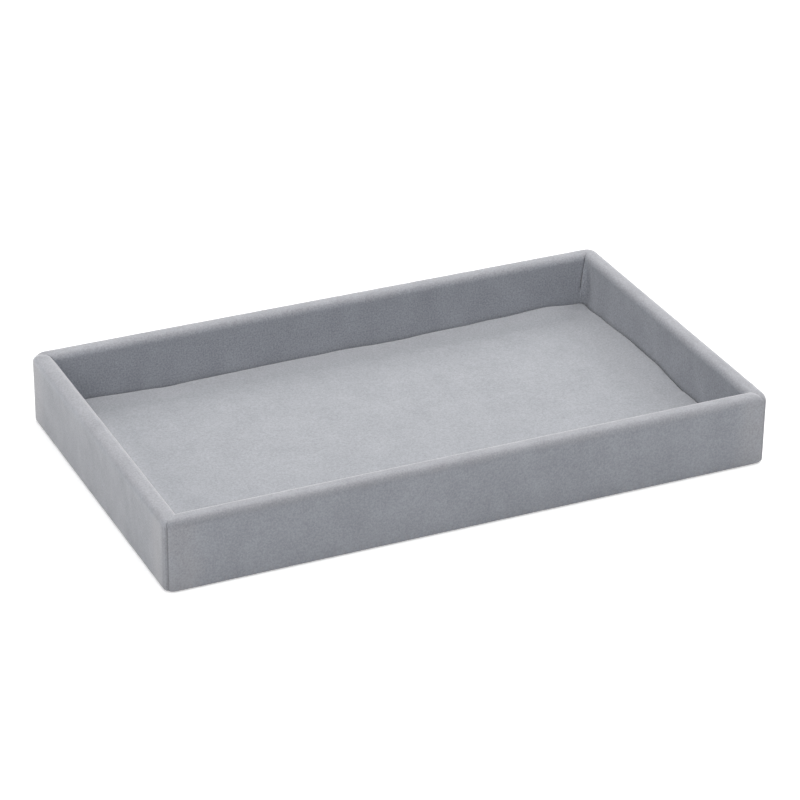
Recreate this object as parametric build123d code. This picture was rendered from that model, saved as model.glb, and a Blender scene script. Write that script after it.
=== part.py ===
from build123d import *
import os

# A jewelry tray: a shallow box of thin boards, wrapped in velvet, with a wrapped card pad on its floor.
# Millimetres. The origin is the centre of the underside, X is the length, Y points to the back, Z is up.

# Outside of the tray, measured over the velvet
tray_length = 210.0
tray_width = 125.0
tray_height = 25.0

# Thickness of each board and sheet
velvet_thick = 0.6
wall_board_thick = 4.8
base_board_thick = 2.0
lining_thick = 0.3
pad_card_thick = 1.0
pad_foam_thick = 0.5

# Rounding of the boards under the velvet
board_corner_radius = 2.4
board_rim_radius = 1.6
board_foot_radius = 0.4

# How far the wall velvet is turned under the base and onto the floor
velvet_turn_under = 10.0
velvet_floor_flap = 8.0

# Tab of the side strips on the front and back walls, at each inside corner
corner_tab_width = 2.5

# Lining sheet under the base
lining_inset = 3.0
lining_corner_radius = 2.0

# Pad on the floor
pad_clearance = 0.3
pad_corner_radius = 0.9
pad_edge_share = 0.8
pad_turn_under = 12.0

# How far a cutting solid runs past what it cuts
overrun = 5.0

# Levels, from the surface that the tray stands on
lining_top = lining_thick
base_foot = lining_top + velvet_thick
floor_level = base_foot + base_board_thick
flap_top = floor_level + velvet_thick
board_top = tray_height - velvet_thick
pad_card_foot = flap_top + velvet_thick
pad_card_top = pad_card_foot + pad_card_thick
pad_foam_top = pad_card_top + pad_foam_thick
pad_top = pad_foam_top + velvet_thick

# Boards, over their outside faces and between their inside faces
board_length = tray_length - 2 * velvet_thick
board_width = tray_width - 2 * velvet_thick
board_gap_length = board_length - 2 * wall_board_thick
board_gap_width = board_width - 2 * wall_board_thick

# Room inside the wrapped walls
room_length = board_gap_length - 2 * velvet_thick
room_width = board_gap_width - 2 * velvet_thick

# Pad, over its velvet and over its card, and the rounding of its foam
pad_length = room_length - 2 * pad_clearance
pad_width = room_width - 2 * pad_clearance
card_length = pad_length - 2 * velvet_thick
card_width = pad_width - 2 * velvet_thick
pad_edge_radius = pad_edge_share * pad_foam_thick


def slab(length, width, low, high):
    """A plain block, centred on the tray, between two levels."""
    return Pos(0, 0, low) * extrude(Rectangle(length, width), amount=high - low)


def rounded_slab(length, width, radius, low, high):
    """A block with rounded upright edges, centred on the tray, between two levels."""
    return Pos(0, 0, low) * extrude(RectangleRounded(length, width, radius), amount=high - low)


def top_edges(solid):
    return solid.edges().group_by(Axis.Z)[-1]


def bottom_edges(solid):
    return solid.edges().group_by(Axis.Z)[0]


# Base board
def make_base_board():
    board = rounded_slab(board_length, board_width, board_corner_radius, base_foot, floor_level)
    return fillet(bottom_edges(board), board_foot_radius)


# Four wall boards, still in one ring, standing on the base board
def make_wall_ring():
    ring = rounded_slab(board_length, board_width, board_corner_radius, floor_level, board_top)
    ring -= slab(board_gap_length, board_gap_width, floor_level - overrun, board_top + overrun)
    return fillet(top_edges(ring), board_rim_radius)


# One long board: the front one for side -1, the back one for side 1
def make_long_board(ring, side):
    reach = wall_board_thick + overrun
    stock = Box(tray_length + overrun, reach, tray_height + overrun, align=(Align.CENTER, Align.MIN, Align.MIN))
    if side < 0:
        stock = stock.mirror(Plane.XZ)
    return ring & (Pos(0, side * board_gap_width / 2, 0) * stock)


# One short board, which fits between the long ones: the left one for side -1, the right one for side 1
def make_short_board(ring, side):
    reach = wall_board_thick + overrun
    stock = Box(reach, board_gap_width, tray_height + overrun, align=(Align.MIN, Align.CENTER, Align.MIN))
    if side < 0:
        stock = stock.mirror(Plane.YZ)
    return ring & (Pos(side * board_gap_length / 2, 0, 0) * stock)


# Velvet of all four walls, still in one piece: the wrapped outside less the boards that it lies on
def make_wall_wrap(base, ring):
    outside_radius = board_corner_radius + velvet_thick
    wrap = rounded_slab(tray_length, tray_width, outside_radius, lining_top, tray_height)
    wrap -= slab(room_length, room_width, flap_top, tray_height + overrun)
    wrap = fillet(top_edges(wrap), board_rim_radius + velvet_thick)
    wrap = fillet(bottom_edges(wrap), board_foot_radius + velvet_thick)
    bare_floor_length = room_length - 2 * velvet_floor_flap
    bare_floor_width = room_width - 2 * velvet_floor_flap
    wrap -= slab(bare_floor_length, bare_floor_width, floor_level, tray_height)
    bare_underside_length = tray_length - 2 * velvet_turn_under
    bare_underside_width = tray_width - 2 * velvet_turn_under
    wrap -= slab(bare_underside_length, bare_underside_width, -overrun, base_foot)
    return wrap - base - ring


# Prism that cuts one long strip out of the wrap, with mitred ends: front for side -1, back for side 1
def make_long_mitre(side):
    depth = max(velvet_turn_under, wall_board_thick + 2 * velvet_thick + velvet_floor_flap) + velvet_thick
    half_length = tray_length / 2
    outer = side * tray_width / 2
    inner = outer - side * depth
    outline = Polygon(
        (-half_length, outer),
        (half_length, outer),
        (half_length - depth, inner),
        (depth - half_length, inner),
        align=None,
    )
    return extrude(outline, amount=tray_height, dir=(0, 0, 1))


# The narrow wedges by which the side strips are turned onto the front and back walls at the inside corners
def make_corner_tabs():
    shoulder = tray_height - board_rim_radius - velvet_thick
    fold = room_length / 2
    outline = Polygon(
        (fold, shoulder),
        (fold + velvet_thick, shoulder),
        (fold + velvet_thick, flap_top),
        (fold - corner_tab_width, flap_top),
        align=None,
    )
    wedge = extrude(Plane.XZ * outline, amount=room_width / 2 + velvet_thick, both=True)
    wedge -= slab(tray_length, room_width, 0, tray_height)
    return wedge + wedge.mirror(Plane.YZ)


# Four strips of velvet, as a front, back, left and right one
def make_wall_velvets(wrap):
    tabs = make_corner_tabs()
    front_prism = make_long_mitre(-1)
    back_prism = make_long_mitre(1)
    front = (wrap & front_prism) - tabs
    back = (wrap & back_prism) - tabs
    sides = wrap - front - back
    half = tray_length / 2 + overrun
    right_half = Box(half, tray_width + overrun, tray_height + overrun, align=(Align.MIN, Align.CENTER, Align.MIN))
    right = sides & right_half
    left = sides & right_half.mirror(Plane.YZ)
    return front, back, left, right


# Lining sheet: it lies on the turned-under velvet and steps up to the bare board inside that
def make_underside_sheet():
    sheet_length = tray_length - 2 * lining_inset
    sheet_width = tray_width - 2 * lining_inset
    bare_length = tray_length - 2 * velvet_turn_under
    bare_width = tray_width - 2 * velvet_turn_under
    band = rounded_slab(sheet_length, sheet_width, lining_corner_radius, 0, lining_top)
    step = slab(bare_length, bare_width, lining_top, base_foot)
    hollow_length = bare_length - 2 * lining_thick
    hollow_width = bare_width - 2 * lining_thick
    hollow = slab(hollow_length, hollow_width, -overrun, base_foot - lining_thick)
    return band + step - hollow


# Stiff card of the pad
def make_pad_board():
    return rounded_slab(card_length, card_width, pad_corner_radius, pad_card_foot, pad_card_top)


# Foam sheet on that card
def make_pad_foam():
    foam = rounded_slab(card_length, card_width, pad_corner_radius, pad_card_top, pad_foam_top)
    return fillet(top_edges(foam), pad_edge_radius)


# Velvet cover of the pad, drawn round its edges and glued under the card
def make_pad_velvet(card, foam):
    cover = rounded_slab(pad_length, pad_width, pad_corner_radius + velvet_thick, flap_top, pad_top)
    cover = fillet(top_edges(cover), pad_edge_radius + velvet_thick)
    bare_length = card_length - 2 * pad_turn_under
    bare_width = card_width - 2 * pad_turn_under
    cover -= slab(bare_length, bare_width, flap_top - overrun, pad_card_foot)
    return cover - card - foam


base_board = make_base_board()
wall_ring = make_wall_ring()
wall_wrap = make_wall_wrap(base_board, wall_ring)
front_velvet, back_velvet, left_velvet, right_velvet = make_wall_velvets(wall_wrap)
pad_board = make_pad_board()
pad_foam = make_pad_foam()

nodes = {
    "base_board": base_board,
    "front_wall_board": make_long_board(wall_ring, -1),
    "back_wall_board": make_long_board(wall_ring, 1),
    "left_wall_board": make_short_board(wall_ring, -1),
    "right_wall_board": make_short_board(wall_ring, 1),
    "front_wall_velvet": front_velvet,
    "back_wall_velvet": back_velvet,
    "left_wall_velvet": left_velvet,
    "right_wall_velvet": right_velvet,
    "underside_sheet": make_underside_sheet(),
    "pad_board": pad_board,
    "pad_foam": pad_foam,
    "pad_velvet": make_pad_velvet(pad_board, pad_foam),
}

os.makedirs("parts", exist_ok=True)
for name, solid in nodes.items():
    export_step(solid, f"parts/{name}.step")
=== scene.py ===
import bisect
import math

import bmesh
import bpy
from mathutils import Matrix, Vector


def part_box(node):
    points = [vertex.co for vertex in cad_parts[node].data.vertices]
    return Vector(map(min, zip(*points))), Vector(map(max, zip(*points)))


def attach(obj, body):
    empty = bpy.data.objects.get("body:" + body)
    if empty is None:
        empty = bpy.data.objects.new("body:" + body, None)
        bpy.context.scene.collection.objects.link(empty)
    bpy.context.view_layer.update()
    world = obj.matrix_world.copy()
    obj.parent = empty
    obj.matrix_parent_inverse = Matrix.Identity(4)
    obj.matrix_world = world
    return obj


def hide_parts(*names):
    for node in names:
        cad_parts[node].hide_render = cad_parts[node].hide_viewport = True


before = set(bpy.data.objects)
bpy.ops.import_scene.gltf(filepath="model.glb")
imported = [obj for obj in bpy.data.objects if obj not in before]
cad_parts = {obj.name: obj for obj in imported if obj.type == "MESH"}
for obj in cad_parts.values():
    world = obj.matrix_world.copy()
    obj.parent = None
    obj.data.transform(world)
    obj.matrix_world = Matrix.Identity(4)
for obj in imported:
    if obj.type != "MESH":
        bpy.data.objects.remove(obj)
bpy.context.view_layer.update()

# The boards are medium-density fibreboard, sawn to strips, sanded round along the rims and glued
# with butt joints onto the base board. The velvet hides them all, but they carry everything else.

MM = 0.001


def linear(hex_colour):
    """An sRGB hex colour as a linear colour with alpha."""
    parts = [int(hex_colour[i:i + 2], 16) / 255 for i in (1, 3, 5)]
    return tuple(c / 12.92 if c <= 0.04045 else ((c + 0.055) / 1.055) ** 2.4 for c in parts) + (1.0,)


def add_node(tree, kind, settings={}, links={}):
    """A node with its settings, which are inputs or properties, and the outputs that feed its inputs."""
    made = tree.nodes.new(kind)
    for name, value in settings.items():
        if isinstance(name, str) and hasattr(made, name):
            setattr(made, name, value)
        else:
            made.inputs[name].default_value = value
    for name, output in links.items():
        tree.links.new(output, made.inputs[name])
    return made


def new_material(name):
    """An empty node material and its output node."""
    material = bpy.data.materials.new(name)
    material.use_nodes = True
    material.node_tree.nodes.clear()
    return material, add_node(material.node_tree, "ShaderNodeOutputMaterial")


def sanded_fibreboard():
    # Pressed wood fibres without grain: an even tan with short darker fibres a millimetre or two long,
    # matt, with a faintly fuzzy sanded surface
    fibre_length = 1.5 * MM
    cloud_size = 14 * MM
    fibre_share = 0.65
    material, output = new_material("sanded_fibreboard")
    tree = material.node_tree
    place = add_node(tree, "ShaderNodeTexCoord")
    fibres = add_node(tree, "ShaderNodeTexNoise",
                      {"Scale": 1 / fibre_length, "Detail": 4.0, "Roughness": 0.7},
                      {"Vector": place.outputs["Object"]})
    clouds = add_node(tree, "ShaderNodeTexNoise", {"Scale": 1 / cloud_size, "Detail": 2.0},
                      {"Vector": place.outputs["Object"]})
    soft = add_node(tree, "ShaderNodeMath", {"operation": "MULTIPLY", 1: 1 - fibre_share},
                    {0: clouds.outputs["Fac"]})
    both = add_node(tree, "ShaderNodeMath", {"operation": "MULTIPLY_ADD", 1: fibre_share},
                    {0: fibres.outputs["Fac"], 2: soft.outputs[0]})
    tone = add_node(tree, "ShaderNodeMix", {"data_type": "RGBA", 6: linear("#8c6c49"), 7: linear("#b9966c")},
                    {0: both.outputs[0]})
    fuzz = add_node(tree, "ShaderNodeBump", {"Strength": 0.5, "Distance": 0.1 * MM},
                    {"Height": fibres.outputs["Fac"]})
    board = add_node(tree, "ShaderNodeBsdfPrincipled", {"Roughness": 0.85, "Specular IOR Level": 0.3},
                     {"Base Color": tone.outputs[2], "Normal": fuzz.outputs["Normal"]})
    tree.links.new(board.outputs["BSDF"], output.inputs["Surface"])
    return material


def dress(node_name, material):
    """Gives a rigid CAD node its finish."""
    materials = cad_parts[node_name].data.materials
    materials.clear()
    materials.append(material)


fibreboard = sanded_fibreboard()
BOARDS = ["base_board", "front_wall_board", "back_wall_board", "left_wall_board", "right_wall_board"]
for board_name in BOARDS:
    dress(board_name, fibreboard)

# The wall covers are four strips of short-pile velvet. Each is glued under the base, drawn up its wall's
# outside, over the rounded rim and down the inside, and ends in a flap on the floor. The strips meet in
# mitres on the rim and in seams down the outside corners.

outside_low, outside_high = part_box("front_wall_velvet")
_, back_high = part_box("back_wall_velvet")
_, right_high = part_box("right_wall_velvet")
board_low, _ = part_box("front_wall_board")
inner_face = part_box("back_wall_board")[0].y
tray_half_length = right_high.x
tray_half_width = back_high.y
foot_level = outside_low.z
rim_level = outside_high.z
velvet_thick = board_low.y - outside_low.y
wall_thick = tray_half_width - inner_face + velvet_thick
flap_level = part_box("base_board")[1].z + velvet_thick
turn_under = 10 * MM
floor_flap = 8 * MM
corner_radius = 3.0 * MM
rim_radius = 2.2 * MM
foot_radius = 1.0 * MM
fold_radius = 0.4 * MM
row_step = 1.0 * MM
foot_steps, rim_steps, fold_steps = 5, 8, 3
nearly = 0.01 * MM


def deselect():
    if bpy.context.object and bpy.context.object.mode == "EDIT":
        bpy.ops.mesh.select_all(action="DESELECT")
    else:
        bpy.ops.object.select_all(action="DESELECT")


def run_of(start, end, step):
    """Points from start to end, without start, about step apart."""
    start, end = Vector(start), Vector(end)
    count = max(1, round((end - start).length / step))
    return [start.lerp(end, i / count) for i in range(1, count + 1)]


def bend_of(centre, radius, first_angle, last_angle, count):
    """Points round a bend, without its first one; angle 0 points inwards from the outside face, 90 up."""
    points = []
    for i in range(1, count + 1):
        angle = math.radians(first_angle + (last_angle - first_angle) * i / count)
        points.append(Vector((centre[0] + radius * math.cos(angle), centre[1] + radius * math.sin(angle))))
    return points


def wall_section():
    """The pile side of a strip in section, as (depth from the outside face, height) from edge to edge."""
    shoulder = rim_level - rim_radius
    points = [Vector((turn_under, foot_level))]
    points += run_of(points[-1], (foot_radius, foot_level), 2 * row_step)
    points += bend_of((foot_radius, foot_level + foot_radius), foot_radius, 270, 180, foot_steps)
    points += run_of(points[-1], (0, shoulder), row_step)
    points += bend_of((rim_radius, shoulder), rim_radius, 180, 90, rim_steps)
    points += run_of(points[-1], (wall_thick - rim_radius, rim_level), 0.8 * row_step)
    points += bend_of((wall_thick - rim_radius, shoulder), rim_radius, 90, 0, rim_steps)
    points += run_of(points[-1], (wall_thick, flap_level + fold_radius), row_step)
    points += bend_of((wall_thick + fold_radius, flap_level + fold_radius), fold_radius, 180, 270, fold_steps)
    points += run_of(points[-1], (wall_thick + floor_flap, flap_level), 2 * row_step)
    return points


def section_lengths(section):
    """How far along the strip's width each point of its section lies."""
    lengths = [0.0]
    for here, there in zip(section, section[1:]):
        lengths.append(lengths[-1] + (there - here).length)
    return lengths


def middle_of_rim():
    """How far along the strip's width the middle of the rim lies."""
    section = wall_section()
    top = Vector((wall_thick / 2, rim_level))
    return min(zip(section, section_lengths(section)), key=lambda pair: (pair[0] - top).length)[1]


# Painted light, in part the pile opening over the rim: the colour is paler in a band to each side of the
# rim's middle, and less far in bands down the outside corners, which fade out more slowly. Over the outer
# shoulder of the rim lies a band of its own, painted light on some walls and painted shade on others.
rim_middle = middle_of_rim()
rim_band = 3.3 * MM
shoulder_band = 4.6 * MM
corner_band = 9 * MM
corner_softness = 3
corner_light_depth = -0.15 * rim_band
end_cuts = (0.2 * MM, 0.4 * MM, 0.65 * MM, 0.9 * MM)


def pull_strip(name, half_length, shoulder):
    """A straight strip in the section of a wall: its outside face on y = 0, its wall towards +y.

    shoulder is the painted light over the outer shoulder of the rim at its -x and +x ends, painted shade
    where below 0.
    """
    section = wall_section()
    columns = round(2 * half_length / row_step)
    first, second = section[0], section[1]
    deselect()
    bpy.ops.mesh.primitive_grid_add(x_subdivisions=columns, y_subdivisions=1, size=1,
                                    location=(0, (first.x + second.x) / 2, foot_level))
    strip = bpy.context.object
    strip.name = strip.data.name = name
    strip.scale = (2 * half_length, first.x - second.x, 1)
    bpy.ops.object.transform_apply(location=True, rotation=True, scale=True)
    bpy.ops.object.mode_set(mode="EDIT")
    bpy.ops.mesh.select_mode(type="EDGE")
    deselect()
    mesh = bmesh.from_edit_mesh(strip.data)
    for edge in mesh.edges:
        if all(abs(v.co.y - second.x) < nearly for v in edge.verts):
            edge.select_set(True)
    bmesh.update_edit_mesh(strip.data)
    for here, there in zip(section[1:], section[2:]):
        bpy.ops.mesh.extrude_region_move(
            TRANSFORM_OT_translate={"value": (0, there.x - here.x, there.y - here.y)})
    for cut in end_cuts:
        for side in (-1, 1):
            bpy.ops.mesh.select_all(action="SELECT")
            bpy.ops.mesh.bisect(plane_co=(side * (half_length - cut), 0, 0), plane_no=(1, 0, 0))
    bpy.ops.mesh.select_all(action="SELECT")
    bpy.ops.mesh.flip_normals()
    bpy.ops.object.mode_set(mode="OBJECT")
    mark_lay(strip, half_length, shoulder)
    return strip


def mark_lay(strip, half_length, shoulder):
    """Notes for each point of a strip what its pile has to know.

    lay is how far it lies along and across the flat strip, and how far from a seam, which fit_corners fills
    in and which sets the painted seam shade: here it is far from any. It also notes how far the point lies
    past the bands of painted light, which are in part the pile opening over the rim, and how much paler the
    outer
    shoulder of the rim is painted: painted light, and painted shade where the figure is below 0.
    """
    section = wall_section()
    lengths = section_lengths(section)
    strip.data.attributes.new("lay", "FLOAT_VECTOR", "POINT")
    strip.data.attributes.new("past_pale_band", "FLOAT", "POINT")
    strip.data.attributes.new("painted_shoulder", "FLOAT", "POINT")
    lay = strip.data.attributes["lay"].data
    past_pale_band = strip.data.attributes["past_pale_band"].data
    painted_shoulder = strip.data.attributes["painted_shoulder"].data
    shoulder_start = rim_middle - wall_thick / 2 + rim_radius
    for i, vertex in enumerate(strip.data.vertices):
        here = Vector((vertex.co.y, vertex.co.z))
        row = min(range(len(section)), key=lambda k: (section[k] - here).length_squared)
        lay[i].vector = (vertex.co.x, lengths[row], 1)
        past = abs(lengths[row] - rim_middle) - rim_band
        # Painted light over the rim's outer shoulder, painted shade where the wall's figure is below 0, and
        # painted light in bands down the outside corners
        if section[row].x < wall_thick / 2:
            along = (vertex.co.x + half_length) / (2 * half_length)
            over = min(1, max(0, (shoulder_start - lengths[row]) / shoulder_band))
            most = shoulder[0] * (1 - along) + shoulder[1] * along
            painted_shoulder[i].value = math.sin(math.pi * over) ** 2 * most
            past_corner = (half_length - abs(vertex.co.x) - corner_band) / corner_softness
            past = min(past, max(past_corner, corner_light_depth))
        past_pale_band[i].value = past


# The ends of the strips: how far apart two ends lie at a seam and at a slit, how one of them rolls in and the
# other is tucked under it, and how far back along a strip its end is eased to where it has to meet the next.
seam_gap = 0.5 * MM
seam_roll = 0.2 * MM
slit_gap = 0.1 * MM
slit_closed, slit_open = 6.5 * MM, 17 * MM
slit_slope = 0.35 * MM
tuck_depth = 0.54 * MM
tuck_length = 1.2 * MM
tuck_start, tuck_full = 0.65 * MM, 0.4 * MM
rim_overlap = 0.12 * MM
rim_droop = 0.35
easing = 18 * MM
shoulder_level = rim_level - rim_radius
inner_foot = flap_level + fold_radius
least_share = 0.01

# The velvet stands off an inside corner most half way up. There it runs into the next wall at a slant, or
# is creased before it.
bridge_rise = 1.4 * MM
bridge_reach, bridge_spread = 2.4 * MM, 3.2 * MM
bridge_slant = 0.8
crease_place = 0.8
crease_width = 2.6 * MM
crease_shade = 0.2 * MM
tab_width = 2.5 * MM
tab_lift = 0.4 * MM
tab_steps = 3
tab_step = 0.5 * MM

# Painted shade: the pile is painted dark this near to a seam, where its groove lies in shade, and is its own
# tone this far from one. On the strip whose end slips under the other, both are as many times less as
# seam_sharpness says.
seam_shade_at, seam_shade_clear_at = 0.2 * MM, 0.6 * MM
seam_sharpness = 2

# Degrees that each of two strips goes round an outside corner when their seam is in its middle
even_turn = 45


def flat_places(lay_vectors):
    """For each point of a strip: its place along it, and the depth and height its row has in the section."""
    section = wall_section()
    lengths = section_lengths(section)
    places = []
    for lay in lay_vectors:
        row = min(bisect.bisect_left(lengths, lay.y - nearly), len(section) - 1)
        places.append((lay.x, section[row].x, section[row].y))
    return places


def on_inner_leg(depth, height):
    """Whether a place in the section is on its straight inner side."""
    return depth > wall_thick - nearly and inner_foot - nearly < height < shoulder_level + nearly


def tab_at(height):
    """Width of the corner tab at a height: nothing at the shoulder, its full width at the floor."""
    return tab_width * min(1, max(0, (shoulder_level - height) / (shoulder_level - flap_level)))


def bridge_at(height):
    """How far the velvet stands off an inside corner at a height, and how far from the corner it starts."""
    arch = math.sin(math.pi * min(1, max(0, (height - inner_foot) / (shoulder_level - inner_foot))))
    return bridge_rise * arch, bridge_reach + bridge_spread * arch


def slit_at(height):
    """How far the slit beside a tab gapes at a height: fully below the rim, and not at all near the floor."""
    t = min(1, max(0, (height - slit_closed) / (slit_open - slit_closed)))
    return t * t * (3 - 2 * t)


def tuck_at(from_end):
    """How deep and how far an end slips under the strip beside it, from how far a point is from that end."""
    t = min(1, max(0, (tuck_start - from_end) / (tuck_start - tuck_full)))
    return tuck_depth * t * t * (3 - 2 * t), tuck_length * max(0, 1 - from_end / tuck_full)


def fit_corners(strip, half_length, turns, softness, gives_way):
    """Shapes both ends of a straight strip: mitred on the rim, drawn round the outside corner up to its seam.

    turns holds how many degrees the strip goes round the corner at its -x and +x ends, and softness by how
    much the corner's radius grows towards the rim there.
    gives_way says that the inner leg stops short of the corner, for the tab of the strip beside it.
    """
    lay = strip.data.attributes["lay"].data
    places = flat_places([entry.vector for entry in lay])
    for vertex, entry, (flat_x, flat_depth, flat_height) in zip(strip.data.vertices, lay, places):
        x, depth, height = vertex.co
        side = 1 if flat_x > 0 else -1
        from_end = half_length - abs(flat_x)
        rim_share = min(1, max(0, (flat_height - shoulder_level) / rim_radius))
        leg_share = 1 - rim_share
        sink, slip = tuck_at(from_end)
        end = half_length - depth + rim_overlap * rim_share
        if flat_depth < corner_radius and flat_height > foot_level:
            # How far from the seam, which sets the painted seam shade
            entry.vector.z = from_end / max(leg_share, least_share)
            if gives_way:
                end -= seam_gap * leg_share
                depth += seam_roll * leg_share * max(0, 1 - from_end / tuck_start) ** 2
            else:
                entry.vector.z *= seam_sharpness
                end += slip * leg_share
                depth += sink * leg_share
        elif gives_way and flat_depth > wall_thick - rim_radius and flat_height > inner_foot:
            gape = leg_share * slit_at(flat_height)
            # How far from the slit, which sets the painted shade in the slit
            entry.vector.z = max(0, from_end - slit_slope) / max(gape, least_share)
            end += (slip + slit_slope) * leg_share - slit_gap * gape
            end -= tab_at(flat_height)
            depth -= sink * leg_share
        along = abs(flat_x)
        if from_end < easing:
            along = half_length - easing + (1 - from_end / easing) * (end - half_length + easing)
        growth = softness[side > 0] * MM * rim_share
        radius = corner_radius + growth
        room = radius - depth
        if room > 0 and along > half_length - radius:
            turned = math.radians(even_turn + (turns[side > 0] - even_turn) * min(1, room / radius))
            round_share = (along - half_length + radius) / room
            along = half_length - radius + room * math.sin(turned * round_share)
            depth = radius - room * math.cos(turned * round_share)
            height -= rim_droop * growth * min(1, round_share) ** 2 * room / radius
        if on_inner_leg(flat_depth, flat_height) and not gives_way:
            rise, reach = bridge_at(flat_height)
            from_corner = half_length - wall_thick - along
            share = max(0, 1 - from_corner / reach) ** 2
            crease = math.exp(-((from_corner - crease_place * reach) / crease_width) ** 2)
            depth += rise * share
            along -= bridge_slant * rise * share
            # The painted shade in the crease
            entry.vector.z = seam_shade_clear_at - crease_shade * crease * min(1, rise / MM)
        vertex.co = (side * along, depth, height)


def draw_tabs(strip, half_length):
    """Carries the inner leg round both inside corners, as a tab that tapers up to nothing at the rim."""
    deselect()
    bpy.context.view_layer.objects.active = strip
    strip.select_set(True)
    bpy.ops.object.mode_set(mode="EDIT")
    bpy.ops.mesh.select_mode(type="EDGE")
    deselect()
    mesh = bmesh.from_edit_mesh(strip.data)
    lay = mesh.verts.layers.float_vector["lay"]
    for edge in mesh.edges:
        if edge.is_boundary:
            places = flat_places([vertex[lay] for vertex in edge.verts])
            at_end = all(abs(place[0]) > half_length - nearly for place in places)
            edge.select_set(at_end and all(on_inner_leg(*place[1:]) for place in places))
    bmesh.update_edit_mesh(strip.data)
    for step in range(1, tab_steps + 1):
        bpy.ops.mesh.extrude_region_move(TRANSFORM_OT_translate={"value": (0, tab_step, 0)})
        mesh = bmesh.from_edit_mesh(strip.data)
        lay = mesh.verts.layers.float_vector["lay"]
        for vertex in mesh.verts:
            if vertex.select:
                flat_x, _, height = flat_places([vertex[lay]])[0]
                rise = bridge_at(height)[0]
                share = step / tab_steps
                lifted = tab_lift * share ** 2 * min(1, tab_at(height) / MM) * slit_at(height)
                along = half_length - wall_thick - bridge_slant * rise * (1 - share) ** 2 - lifted
                depth = wall_thick + rise * (1 - share) + tab_at(height) * share
                vertex.co = (math.copysign(along, flat_x), depth, vertex.co.z)
                vertex[lay].z = 1
        bmesh.update_edit_mesh(strip.data)
    bpy.ops.mesh.select_all(action="SELECT")
    bpy.ops.mesh.remove_doubles(threshold=nearly / 2)
    bpy.ops.object.mode_set(mode="OBJECT")


def thicken(piece, thickness):
    """Gives a sheet its thickness, on the side away from its pile."""
    solidify = piece.modifiers.new("thickness", "SOLIDIFY")
    solidify.thickness = thickness
    solidify.offset = -1
    deselect()
    bpy.context.view_layer.objects.active = piece
    piece.select_set(True)
    bpy.ops.object.modifier_apply(modifier=solidify.name)


swell_ramp = 3 * MM


def undulate(piece, size, height, free_from=None):
    """Lifts the surface by a soft random swell: size across a swell, height at most.

    free_from is a length from the middle: beyond it the ends lie flat, so that neighbours meet.
    """
    swell = bpy.data.textures.new(piece.name + "_swell", "CLOUDS")
    swell.noise_scale = size
    swell.noise_depth = 2
    swell.noise_basis = "ORIGINAL_PERLIN"
    displace = piece.modifiers.new("swell", "DISPLACE")
    displace.texture = swell
    displace.texture_coords = "LOCAL"
    displace.mid_level = 0
    displace.strength = height
    if free_from:
        free = piece.vertex_groups.new(name="free")
        for vertex in piece.data.vertices:
            share = min(1, max(0, (free_from - abs(vertex.co.x)) / swell_ramp))
            free.add([vertex.index], share, "REPLACE")
        displace.vertex_group = free.name
    deselect()
    bpy.context.view_layer.objects.active = piece
    piece.select_set(True)
    bpy.ops.object.modifier_apply(modifier=displace.name)
    piece.vertex_groups.clear()


def put(piece, angle, place):
    """Turns a straight strip about z and moves it to its wall, with its place in its mesh."""
    piece.rotation_euler = (0, 0, math.radians(angle))
    piece.location = place
    deselect()
    bpy.context.view_layer.objects.active = piece
    piece.select_set(True)
    bpy.ops.object.transform_apply(location=True, rotation=True, scale=True)


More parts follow.
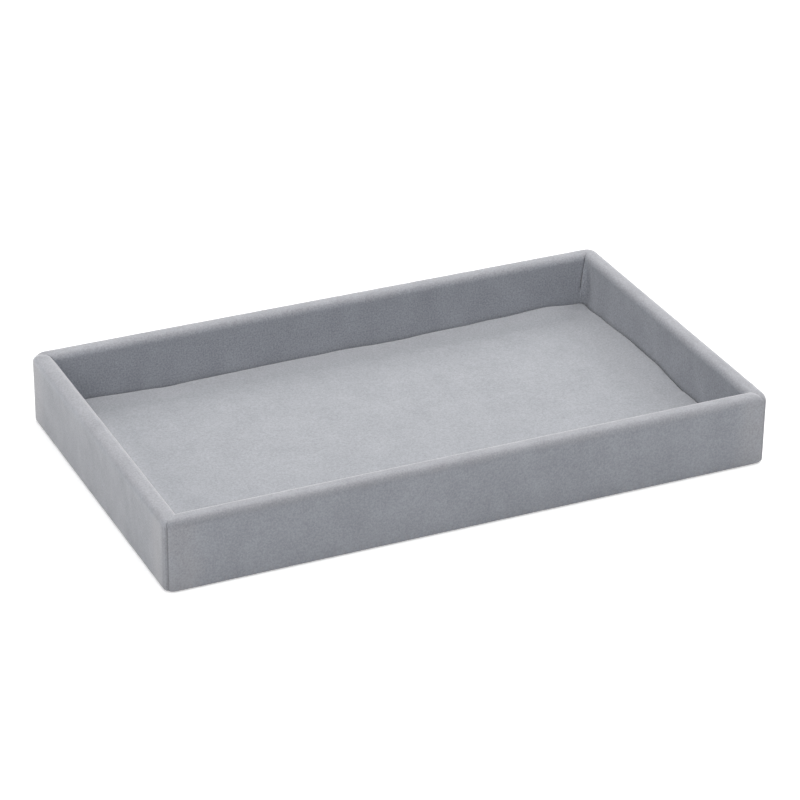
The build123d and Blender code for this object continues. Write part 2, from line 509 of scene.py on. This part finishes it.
def velvet(name, dark, light, speckle, middle, fade, pile_and_light_gain):
    # Short dense pile on a knitted back: matt, with a fine speckle of fibre tips, soft cloudy patches and
    # brush
    # marks along the lay. Painted sheen: the colour is made paler at a grazing angle than where it is looked
    # at straight on. Painted light, in part the pile opening where the cloth is drawn over the rim, and on
    # the pad against the walls' shade: in bands the colour is paler, by as much as the last argument says and
    # up to a ragged line as wide as fade, and the shoulder attribute paints the rim's outer shoulder paler
    # still as painted light, and darker as painted shade where it is below 0. Away from the middle of the rim
    # the speckle is coarser.
    # Painted shade: along a seam, in a slit and in a crease the colour is darkened
    tip_size = 0.6 * MM
    patch_size = 9 * MM
    stroke_width, stroke_length = 15 * MM, 40 * MM
    coarse_from_middle = 8 * MM
    material, output = new_material(name)
    tree = material.node_tree
    place = add_node(tree, "ShaderNodeTexCoord")
    tips = add_node(tree, "ShaderNodeTexNoise", {"Scale": 1 / tip_size, "Detail": 3.0, "Roughness": 0.8},
                    {"Vector": place.outputs["Object"]})
    patches = add_node(tree, "ShaderNodeTexNoise", {"Scale": 1 / patch_size, "Detail": 3.0, "Roughness": 0.6},
                       {"Vector": place.outputs["Object"]})

    lay = add_node(tree, "ShaderNodeAttribute", {"attribute_name": "lay"})
    along = add_node(tree, "ShaderNodeVectorMath",
                     {"operation": "MULTIPLY", 1: (1 / stroke_width, 1 / stroke_length, 0)},
                     {0: lay.outputs["Vector"]})
    strokes = add_node(tree, "ShaderNodeTexNoise", {"Scale": 1.0, "Detail": 2.0, "Roughness": 0.5},
                       {"Vector": along.outputs[0]})
    total = add_node(tree, "ShaderNodeMath", {"operation": "ADD"},
                     {0: patches.outputs["Fac"], 1: strokes.outputs["Fac"]})
    lean = add_node(tree, "ShaderNodeMapRange", {"From Min": 0.6, "From Max": 1.4},
                    {"Value": total.outputs[0]})
    tone = add_node(tree, "ShaderNodeMix", {"data_type": "RGBA", 6: linear(dark), 7: linear(light)},
                    {0: lean.outputs["Result"]})

    # Painted light in bands: paler over the rims, in part the pile opening there, down the outside corners
    # and in the pad's margins
    bend = add_node(tree, "ShaderNodeAttribute", {"attribute_name": "past_pale_band"})
    ragged = add_node(tree, "ShaderNodeMath", {"operation": "MULTIPLY_ADD", 1: fade},
                      {0: patches.outputs["Fac"], 2: bend.outputs["Fac"]})
    pile_and_light_share = add_node(tree, "ShaderNodeMapRange",
                      {"interpolation_type": "SMOOTHSTEP", "From Max": fade, "To Min": 1.0, "To Max": 0.0},
                      {"Value": ragged.outputs[0]})
    paler = add_node(tree, "ShaderNodeMix", {"data_type": "VECTOR", 4: (1, 1, 1), 5: pile_and_light_gain},
                     {0: pile_and_light_share.outputs["Result"]})
    banded = add_node(tree, "ShaderNodeVectorMath", {"operation": "MULTIPLY"},
                      {0: tone.outputs[2], 1: paler.outputs[1]})

    across = add_node(tree, "ShaderNodeSeparateXYZ", {}, {0: lay.outputs["Vector"]})
    off = add_node(tree, "ShaderNodeMath", {"operation": "SUBTRACT", 1: middle}, {0: across.outputs["Y"]})
    coarse = add_node(tree, "ShaderNodeMapRange",
                      {"From Max": coarse_from_middle, "To Min": speckle, "To Max": 1.8 * speckle},
                      {"Value": off.outputs[0]})
    fleck = add_node(tree, "ShaderNodeMapRange", {"From Min": 0.3, "From Max": 0.7, "To Min": -1.0},
                     {"Value": tips.outputs["Fac"]})
    depth = add_node(tree, "ShaderNodeMath", {"operation": "MULTIPLY_ADD", 2: 1.0},
                     {0: fleck.outputs["Result"], 1: coarse.outputs["Result"]})
    # Painted shade along the seams, in the slits and in the creases, darkening the colour to 0.65
    pressed = add_node(tree, "ShaderNodeMapRange",
                       {"interpolation_type": "SMOOTHSTEP", "From Min": seam_shade_at, "From Max": seam_shade_clear_at,
                        "To Min": 0.65, "To Max": 1.0},
                       {"Value": across.outputs["Z"]})
    value = add_node(tree, "ShaderNodeMath", {"operation": "MULTIPLY"},
                     {0: depth.outputs[0], 1: pressed.outputs["Result"]})
    # Painted light over the rim's outer shoulder, and painted shade where its figure is below 0
    painted_shoulder = add_node(tree, "ShaderNodeAttribute", {"attribute_name": "painted_shoulder"})
    shoulder_painted = add_node(tree, "ShaderNodeMath", {"operation": "MULTIPLY_ADD"},
                       {0: value.outputs[0], 1: painted_shoulder.outputs["Fac"], 2: value.outputs[0]})
    # Painted sheen: the colour is made up to half again paler as the surface turns to a grazing angle
    view = add_node(tree, "ShaderNodeLayerWeight", {"Blend": 0.5})
    painted_sheen = add_node(tree, "ShaderNodeMapRange",
                        {"From Min": 0.53, "From Max": 1.0, "To Min": 1.0, "To Max": 1.5},
                        {"Value": view.outputs["Facing"]})
    lit = add_node(tree, "ShaderNodeMath", {"operation": "MULTIPLY"},
                   {0: shoulder_painted.outputs[0], 1: painted_sheen.outputs["Result"]})
    flecked = add_node(tree, "ShaderNodeVectorMath", {"operation": "SCALE"},
                       {0: banded.outputs[0], "Scale": lit.outputs[0]})

    pile = add_node(tree, "ShaderNodeBump", {"Strength": 0.5, "Distance": 0.12 * MM},
                    {"Height": tips.outputs["Fac"]})
    brushed = add_node(tree, "ShaderNodeMapRange", {"To Min": 0.75, "To Max": 1.0},
                       {"Value": lean.outputs["Result"]})
    cloth = add_node(tree, "ShaderNodeBsdfPrincipled",
                     {"Roughness": 0.95, "Specular IOR Level": 0.1, "Sheen Roughness": 0.33,
                      "Sheen Tint": linear("#fbf7f2")},
                     {"Base Color": flecked.outputs[0], "Normal": pile.outputs["Normal"],
                      "Sheen Weight": brushed.outputs["Result"]})
    tree.links.new(cloth.outputs["BSDF"], output.inputs["Surface"])
    return material


crease_angle = math.radians(50)
swell_size, swell_height, swell_margin = 5 * MM, 0.16 * MM, 1 * MM


def cover_wall(wall, half_length, angle, place, turns, softness, shoulder, gives_way, pile):
    """One strip of velvet on its wall, in place of the plain CAD one."""
    strip = pull_strip(wall + "_wall_cover", half_length, shoulder)
    undulate(strip, swell_size, swell_height, half_length - swell_margin)
    fit_corners(strip, half_length, turns, softness, gives_way)
    if not gives_way:
        draw_tabs(strip, half_length)
    thicken(strip, velvet_thick)
    put(strip, angle, place)
    bpy.ops.object.shade_smooth_by_angle(angle=crease_angle)
    strip.data.materials.append(pile)
    flat_width = section_lengths(wall_section())[-1]
    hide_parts(wall + "_wall_velvet")
    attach(strip, "tray")


# For each wall: half its length, how its strip is turned and where its outside face stands, and then for the
# strip's -x and +x ends the degrees it goes round the corner, the growth of the corner's radius towards the
# rim in millimetres and the painted light on the outer shoulder, painted shade where below 0. Last comes
# whether it gives way to its neighbours' tabs.
WALL_COVERS = [
    ("front", tray_half_length, 0, (0, -tray_half_width, 0), (53, 24), (0.6, 1.5), (-0.16, -0.02), True),
    ("back", tray_half_length, 180, (0, tray_half_width, 0), (45, 45), (0.4, 1.5), (0, 0), True),
    ("left", tray_half_width, 270, (-tray_half_length, 0, 0), (45, 37), (1.5, 0.6), (0.29, 0.05), False),
    ("right", tray_half_width, 90, (tray_half_length, 0, 0), (66, 45), (1.5, 0.4), (0, 0), False),
]
# How much paler the walls' bands are painted, per colour channel: painted light over the rims, in part the
# pile opening there, and down the outside corners
wall_pile_and_light_gain = (1.155, 1.12, 1.087)
wall_pile = velvet("grey_velvet_walls", "#92959c", "#a0a3aa", 0.18, rim_middle, rim_band, wall_pile_and_light_gain)
for wall_cover in WALL_COVERS:
    cover_wall(*wall_cover, wall_pile)

# The lining is a sheet of dark flocked paper, glued under the base over the turned-under velvet. It is
# pressed up against the bare board in the middle, so it stands on a flat band all round.


def flocked_paper():
    # Paper with a very short dusting of fibres: dark grey, quite matt, with a fine dusty speckle
    dust_size = 0.5 * MM
    material, output = new_material("flocked_paper")
    tree = material.node_tree
    place = add_node(tree, "ShaderNodeTexCoord")
    dust = add_node(tree, "ShaderNodeTexNoise", {"Scale": 1 / dust_size, "Detail": 3.0, "Roughness": 0.7},
                    {"Vector": place.outputs["Object"]})
    tone = add_node(tree, "ShaderNodeMix", {"data_type": "RGBA", 6: linear("#3a3b3f"), 7: linear("#5a5c61")},
                    {0: dust.outputs["Fac"]})
    nap = add_node(tree, "ShaderNodeBump", {"Strength": 0.4, "Distance": 0.05 * MM},
                   {"Height": dust.outputs["Fac"]})
    paper = add_node(tree, "ShaderNodeBsdfPrincipled",
                     {"Roughness": 0.9, "Specular IOR Level": 0.2, "Sheen Weight": 0.15},
                     {"Base Color": tone.outputs[2], "Normal": nap.outputs["Normal"]})
    tree.links.new(paper.outputs["BSDF"], output.inputs["Surface"])
    return material


dress("underside_sheet", flocked_paper())

# The floor pad is built on a stiff card of grey pulp board. Its foam and its velvet cover hide the card, and
# the whole pad is pressed in between the walls.


def pulp_card():
    # Board of recycled paper pulp: warm grey, matt, flecked with darker and lighter bits of fibre
    fleck_size = 0.9 * MM
    material, output = new_material("pulp_card")
    tree = material.node_tree
    place = add_node(tree, "ShaderNodeTexCoord")
    flecks = add_node(tree, "ShaderNodeTexNoise", {"Scale": 1 / fleck_size, "Detail": 5.0, "Roughness": 0.8},
                      {"Vector": place.outputs["Object"]})
    tone = add_node(tree, "ShaderNodeMix", {"data_type": "RGBA", 6: linear("#837f78"), 7: linear("#aaa69d")},
                    {0: flecks.outputs["Fac"]})
    card = add_node(tree, "ShaderNodeBsdfPrincipled", {"Roughness": 0.9, "Specular IOR Level": 0.25},
                    {"Base Color": tone.outputs[2]})
    tree.links.new(card.outputs["BSDF"], output.inputs["Surface"])
    return material


dress("pad_board", pulp_card())

# The pad's cover is one piece of velvet, drawn round the edges and glued under the card. The squeeze between
# the walls makes its edge rise and dip.

pad_low, pad_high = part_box("pad_velvet")
pad_edge_radius, pad_edge_steps = 0.6 * MM, 5
pad_under_radius, pad_under_steps = 0.5 * MM, 3
pad_corner = 2.2 * MM
pad_turn_under = 12 * MM
pad_slack = 0.3 * MM
pad_grid = 1.2 * MM
pad_side_step, pad_under_step = 0.8 * MM, 2 * MM
wave_reach = 11 * MM
wave_lowest = -0.5 * MM
dimple_x, dimple_y, dimple_size, dimple_depth = 94.8 * MM, 52.6 * MM, 2.4 * MM, 0.5 * MM

# How high each edge of the pad stands above its level, in millimetres: (place along the edge, height)
BACK_EDGE = [(-99, 0.5), (-88, 0.9), (-80, 0.6), (-72, 0.2), (-66, 0.0), (-60, -0.4), (-54, -0.2), (-46, 0.0),
             (-36, 0.1), (-26, 0.3), (-16, 0.4), (-4, 0.4), (5, 0.6), (12, 0.4), (16, 0.2), (20, 0.1),
             (25, 0.05), (29, 0.1), (34, 0.4), (42, 0.6), (52, 0.6), (60, 1.0), (68, 1.0), (76, 1.45),
             (84, 1.7), (90, 1.1), (94.5, 0.7), (96.5, 0.6), (99, 0.6)]
RIGHT_EDGE = [(-57, 0.4), (-48, 0.5), (-30, 0.9), (-21, 0.8), (-17, 0.4), (-13, 0.8), (-7, 1.3), (-1, 2.0),
              (5, 2.1), (14, 2.1), (23, 2.1), (29, 1.65), (35, 1.3), (40, 1.2), (44, 0.9), (49, 0.5),
              (53, 0.8), (57, 0.9)]
FRONT_EDGE = [(-99, 0.3), (-85, 0.7), (-62, 0.2), (-40, -0.1), (-18, 0.3), (5, 0.5), (30, 0.2), (60, -0.1),
              (80, 0.5), (92, 0.8), (99, 0.3)]
LEFT_EDGE = [(-57, 0.3), (-50, 0.8), (-34, 0.3), (-20, 0.5), (0, 0.1), (18, -0.1), (36, 0.4), (50, 0.7),
             (57, 0.3)]


def edge_height(edge, place):
    """The height of an edge at a place along it, drawn smoothly through its known heights."""
    place /= MM
    i = min(max(bisect.bisect([x for x, _ in edge], place), 1), len(edge) - 1)
    (x0, h0), (x1, h1) = edge[i - 1], edge[i]
    before, after = edge[max(i - 2, 0)], edge[min(i + 1, len(edge) - 1)]
    slope0 = (h1 - before[1]) / (x1 - before[0]) * (x1 - x0)
    slope1 = (after[1] - h0) / (after[0] - x0) * (x1 - x0)
    t = min(1, max(0, (place - x0) / (x1 - x0)))
    return MM * ((2 * t ** 3 - 3 * t ** 2 + 1) * h0 + (t ** 3 - 2 * t ** 2 + t) * slope0
                 + (3 * t ** 2 - 2 * t ** 3) * h1 + (t ** 3 - t ** 2) * slope1)


def pad_wave(x, y):
    """How far the pad's surface stands above its level: by its edge's height there, and not in the middle.

    In the back right corner it is dimpled, where the cover is pressed down.
    """
    lift = total = most = 0.0
    for edge, place, inset in ((BACK_EDGE, x, pad_high.y - y), (FRONT_EDGE, x, y - pad_low.y),
                               (RIGHT_EDGE, y, pad_high.x - x), (LEFT_EDGE, y, x - pad_low.x)):
        share = min(1, max(0, 1 - inset / wave_reach))
        share *= share * (3 - 2 * share)
        lift += share * edge_height(edge, place)
        total += share
        most = max(most, share)
    off_dimple = math.hypot(x - dimple_x, y - dimple_y)
    dimple = dimple_depth * math.exp(-(off_dimple / dimple_size) ** 2)
    return max(lift / total * most - dimple, wave_lowest) if total else 0.0


def round_corner(x, y, half_x, half_y, radius):
    """Pulls a place back inside the rounded corner of a rectangle."""
    over_x, over_y = abs(x) - half_x + radius, abs(y) - half_y + radius
    if over_x > 0 and over_y > 0:
        reach = math.hypot(over_x, over_y)
        most = max(over_x, over_y)
        over_x, over_y = over_x * most / reach, over_y * most / reach
        x = math.copysign(half_x - radius + over_x, x)
        y = math.copysign(half_y - radius + over_y, y)
    return x, y


def pad_rows():
    """The cover in section, from the edge of its flat top: (inset from the pad's outline, height)."""
    top, low = pad_high.z, pad_low.z
    under = low + pad_under_radius
    points = bend_of((pad_edge_radius, top - pad_edge_radius), pad_edge_radius, 90, 180, pad_edge_steps)
    points += run_of(points[-1], (0, under), pad_side_step)
    points += bend_of((pad_under_radius, under), pad_under_radius, 180, 270, pad_under_steps)
    points += run_of(points[-1], (pad_turn_under, low), pad_under_step)
    return points


def draw_cover():
    """The cover of the pad: a flat top, drawn round the edges and turned under."""
    length, width = pad_high.x - pad_low.x, pad_high.y - pad_low.y
    flat_length, flat_width = length - 2 * pad_edge_radius, width - 2 * pad_edge_radius
    deselect()
    bpy.ops.mesh.primitive_grid_add(x_subdivisions=round(flat_length / pad_grid),
                                    y_subdivisions=round(flat_width / pad_grid), size=1,
                                    location=(0, 0, pad_high.z))
    cover = bpy.context.object
    cover.name = cover.data.name = "pad_cover"
    cover.scale = (flat_length, flat_width, 1)
    bpy.ops.object.transform_apply(location=True, rotation=True, scale=True)
    bpy.ops.object.mode_set(mode="EDIT")
    bpy.ops.mesh.select_mode(type="EDGE")
    deselect()
    mesh = bmesh.from_edit_mesh(cover.data)
    for edge in mesh.edges:
        edge.select_set(edge.is_boundary)
    bmesh.update_edit_mesh(cover.data)
    inset, level = pad_edge_radius, pad_high.z
    for point in pad_rows():
        bpy.ops.mesh.extrude_region_move(TRANSFORM_OT_translate={"value": (0, 0, point.y - level)})
        grow_x = (length - 2 * point.x) / (length - 2 * inset)
        grow_y = (width - 2 * point.x) / (width - 2 * inset)
        bpy.ops.transform.resize(value=(grow_x, grow_y, 1), center_override=(0, 0, 0))
        inset, level = point
    bpy.ops.object.mode_set(mode="OBJECT")
    return cover


# Painted light on the pad, against the walls' shade: margins in which its colour is made paler, wholly along
# the two long sides, in a wider margin but only half as much along the short ones, and hardly in the corners,
# which are this far away
long_side_band, short_side_band = 5 * MM, 10 * MM
long_side_corner, short_side_corner = 7 * MM, 25 * MM
short_corner_softness = 6
pad_fade = 13 * MM
lay_reach = 4 * MM


def mark_edge(piece):
    """Notes for each point of the pad's cover how far it lies from the edge that the cover is drawn round.

    It also notes how far the point lies past the margins of painted light.
    """
    piece.data.attributes.new("lay", "FLOAT_VECTOR", "POINT")
    piece.data.attributes.new("past_pale_band", "FLOAT", "POINT")
    lay = piece.data.attributes["lay"].data
    past_pale_band = piece.data.attributes["past_pale_band"].data
    for i, vertex in enumerate(piece.data.vertices):
        drop = pad_high.z - vertex.co.z
        from_long = pad_high.y - abs(vertex.co.y) + drop
        from_short = pad_high.x - abs(vertex.co.x) + drop
        lay[i].vector = (0, min(from_long, from_short, lay_reach), 1)
        long_side = max(from_long - long_side_band, long_side_corner - from_short)
        in_corner = (short_side_corner - from_long) / short_corner_softness
        short_side = max(from_short - short_side_band, 0, in_corner)
        past_pale_band[i].value = min(long_side, short_side)


def settle_on_pad(piece, low, high, radius):
    """Rounds the corners in plan and lets the edge rise and dip, with the underside left where it lies."""
    for vertex in piece.data.vertices:
        x, y, height = vertex.co
        x *= 1 - pad_slack / high.x
        y *= 1 - pad_slack / high.y
        x, y = round_corner(x, y, high.x, high.y, radius)
        share = min(1, max(0, (height - low) / (high.z - low)))
        vertex.co = (x, y, height + share * pad_wave(x, y))


# How much paler the pad's margins are painted: painted light against the walls' shade
pad_painted_light_gain = (1.26, 1.25, 1.24)
pad_pile = velvet("grey_velvet_pad", "#9fa1a6", "#acaeb3", 0.14, 0, pad_fade, pad_painted_light_gain)
broad_swell_size, broad_swell_height = 9 * MM, 0.10 * MM
fine_swell_size, fine_swell_height = 2.5 * MM, 0.12 * MM

cover = draw_cover()
mark_edge(cover)
undulate(cover, broad_swell_size, broad_swell_height)
undulate(cover, fine_swell_size, fine_swell_height)
settle_on_pad(cover, pad_low.z, pad_high, pad_corner)
thicken(cover, velvet_thick)
bpy.ops.object.shade_smooth_by_angle(angle=crease_angle)
cover.data.materials.append(pad_pile)
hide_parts("pad_velvet")
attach(cover, "pad")

# The pad's foam is a thin white sheet of closed-cell film, as large as the card. It lies between the card and
# the cover and follows the cover's edge up and down.

foam_low, foam_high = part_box("pad_foam")
foam_columns, foam_rows = 80, 46


def foam_film():
    # Closed-cell foam film: white and matt, with cells about a millimetre across that dent its surface
    cell_size = 1.0 * MM
    material, output = new_material("foam_film")
    tree = material.node_tree
    place = add_node(tree, "ShaderNodeTexCoord")
    cells = add_node(tree, "ShaderNodeTexVoronoi", {"Scale": 1 / cell_size},
                     {"Vector": place.outputs["Object"]})
    tone = add_node(tree, "ShaderNodeMix", {"data_type": "RGBA", 6: linear("#f1f1ef"), 7: linear("#dcdcd9")},
                    {0: cells.outputs["Distance"]})
    dents = add_node(tree, "ShaderNodeBump", {"Strength": 0.4, "Distance": 0.1 * MM},
                     {"Height": cells.outputs["Distance"]})
    foam = add_node(tree, "ShaderNodeBsdfPrincipled", {"Roughness": 0.6},
                    {"Base Color": tone.outputs[2], "Normal": dents.outputs["Normal"]})
    tree.links.new(foam.outputs["BSDF"], output.inputs["Surface"])
    return material


def cut_foam():
    """The foam sheet between the card and the cover, following the cover's edge."""
    length, width = foam_high.x - foam_low.x, foam_high.y - foam_low.y
    deselect()
    bpy.ops.mesh.primitive_grid_add(x_subdivisions=foam_columns, y_subdivisions=foam_rows, size=1,
                                    location=(0, 0, foam_high.z))
    foam = bpy.context.object
    foam.name = foam.data.name = "pad_foam_sheet"
    foam.scale = (length, width, 1)
    bpy.ops.object.transform_apply(location=True, rotation=True, scale=True)
    settle_on_pad(foam, foam_low.z, foam_high, pad_corner - velvet_thick)
    thicken(foam, foam_high.z - foam_low.z)
    bpy.ops.object.shade_smooth_by_angle(angle=crease_angle)
    return foam


foam = cut_foam()
foam.data.materials.append(foam_film())
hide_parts("pad_foam")
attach(foam, "pad")

# The studio: a pale floor under soft light from all sides, strongest from the back right. The camera looks
# down on the tray from the left of its front.

camera_azimuth = math.radians(-24.84)
camera_elevation = math.radians(27.71)
camera_roll = math.radians(0.659)
camera_distance = 1075.2 * MM
camera_target = Vector((3.33 * MM, 4.01 * MM, 12.5 * MM))
sensor_width = 36
lens_length = 145.98
camera_reach = 20


def set_camera():
    away = Vector((math.sin(camera_azimuth) * math.cos(camera_elevation),
                   -math.cos(camera_azimuth) * math.cos(camera_elevation), math.sin(camera_elevation)))
    camera = bpy.data.objects.new("camera", bpy.data.cameras.new("camera"))
    bpy.context.scene.collection.objects.link(camera)
    right = Vector((0, 0, 1)).cross(away).normalized()
    up = away.cross(right)
    turned_right = math.cos(camera_roll) * right + math.sin(camera_roll) * up
    turned_up = away.cross(turned_right)
    axes = Matrix((turned_right, turned_up, away)).transposed().to_4x4()
    camera.matrix_world = Matrix.Translation(camera_target + camera_distance * away) @ axes
    camera.data.sensor_width = sensor_width
    camera.data.lens = lens_length
    camera.data.clip_end = camera_reach
    bpy.context.scene.camera = camera


def seen_directly(tree):
    """1 for what the camera sees, directly, mirrored or through something, and 0 for light on the object."""
    path = add_node(tree, "ShaderNodeLightPath")
    either = add_node(tree, "ShaderNodeMath", {"operation": "MAXIMUM"},
                      {0: path.outputs["Is Camera Ray"], 1: path.outputs["Is Glossy Ray"]})
    return add_node(tree, "ShaderNodeMath", {"operation": "MAXIMUM"},
                    {0: either.outputs[0], 1: path.outputs["Is Transmission Ray"]}).outputs[0]


def set_backdrop(fill):
    """White all round for the camera, and only an even fill of light for the object."""
    world = bpy.data.worlds.new("studio")
    bpy.context.scene.world = world
    world.use_nodes = True
    tree = world.node_tree
    tree.nodes.clear()
    strength = add_node(tree, "ShaderNodeMix", {"data_type": "FLOAT", 2: fill, 3: 1.0},
                        {0: seen_directly(tree)})
    light = add_node(tree, "ShaderNodeBackground", {"Color": (1, 1, 1, 1)}, {"Strength": strength.outputs[0]})
    add_node(tree, "ShaderNodeOutputWorld", {}, {"Surface": light.outputs[0]})


def lay_floor():
    """A matt floor whose own glow, which only the camera sees, turns it white further away."""
    floor_size = 8
    glow_from, glow_to = 0.3, 1.5
    deselect()
    bpy.ops.mesh.primitive_plane_add(size=floor_size, location=(0, 0, 0))
    floor = bpy.context.object
    floor.name = "studio_floor"
    material, output = new_material("pale_floor")
    tree = material.node_tree
    matt = add_node(tree, "ShaderNodeBsdfDiffuse", {"Color": (0.8, 0.8, 0.8, 1)})
    place = add_node(tree, "ShaderNodeTexCoord")
    away = add_node(tree, "ShaderNodeVectorMath", {"operation": "LENGTH"}, {0: place.outputs["Object"]})
    level = add_node(tree, "ShaderNodeMapRange",
                     {"From Min": glow_from, "From Max": glow_to, "To Min": 0.45, "To Max": 1.0},
                     {"Value": away.outputs["Value"]})
    lift = add_node(tree, "ShaderNodeMath", {"operation": "MULTIPLY"},
                    {0: level.outputs["Result"], 1: seen_directly(tree)})
    glow = add_node(tree, "ShaderNodeEmission", {"Color": (1, 1, 1, 1)}, {"Strength": lift.outputs[0]})
    both = add_node(tree, "ShaderNodeAddShader", {}, {0: matt.outputs[0], 1: glow.outputs[0]})
    tree.links.new(both.outputs[0], output.inputs["Surface"])
    floor.data.materials.append(material)


def hang_softbox(name, place, size, power):
    """A square lamp that faces the tray."""
    lamp = bpy.data.lights.new(name, "AREA")
    lamp.shape = "SQUARE"
    lamp.size = size
    lamp.energy = power
    box = bpy.data.objects.new(name, lamp)
    bpy.context.scene.collection.objects.link(box)
    box.location = place
    box.rotation_euler = (-Vector(place)).to_track_quat("-Z", "Y").to_euler()


fill_light = 0.2

# Each lamp's place and size in metres, and its power in watts
SOFTBOXES = [
    ("top_softbox", (-0.2, 0.2, 1.6), 1.2, 6.9),
    ("high_front_softbox", (0, -0.9, 1.5), 1.0, 7.8),
    ("front_left_softbox", (-1.1, -0.7, 0.9), 1.2, 6.6),
    ("left_softbox", (-1.3, 0, 1.0), 1.2, 2.7),
    ("right_softbox", (1.3, 0, 1.0), 1.2, 3.2),
    ("front_right_softbox", (1.0, -0.9, 0.9), 1.2, 1.6),
    ("back_right_softbox", (1.0, 1.0, 1.1), 1.2, 21.5),
]

set_camera()
set_backdrop(fill_light)
lay_floor()
for softbox in SOFTBOXES:
    hang_softbox(*softbox)

bpy.context.scene.view_settings.view_transform = "Standard"

deselect()
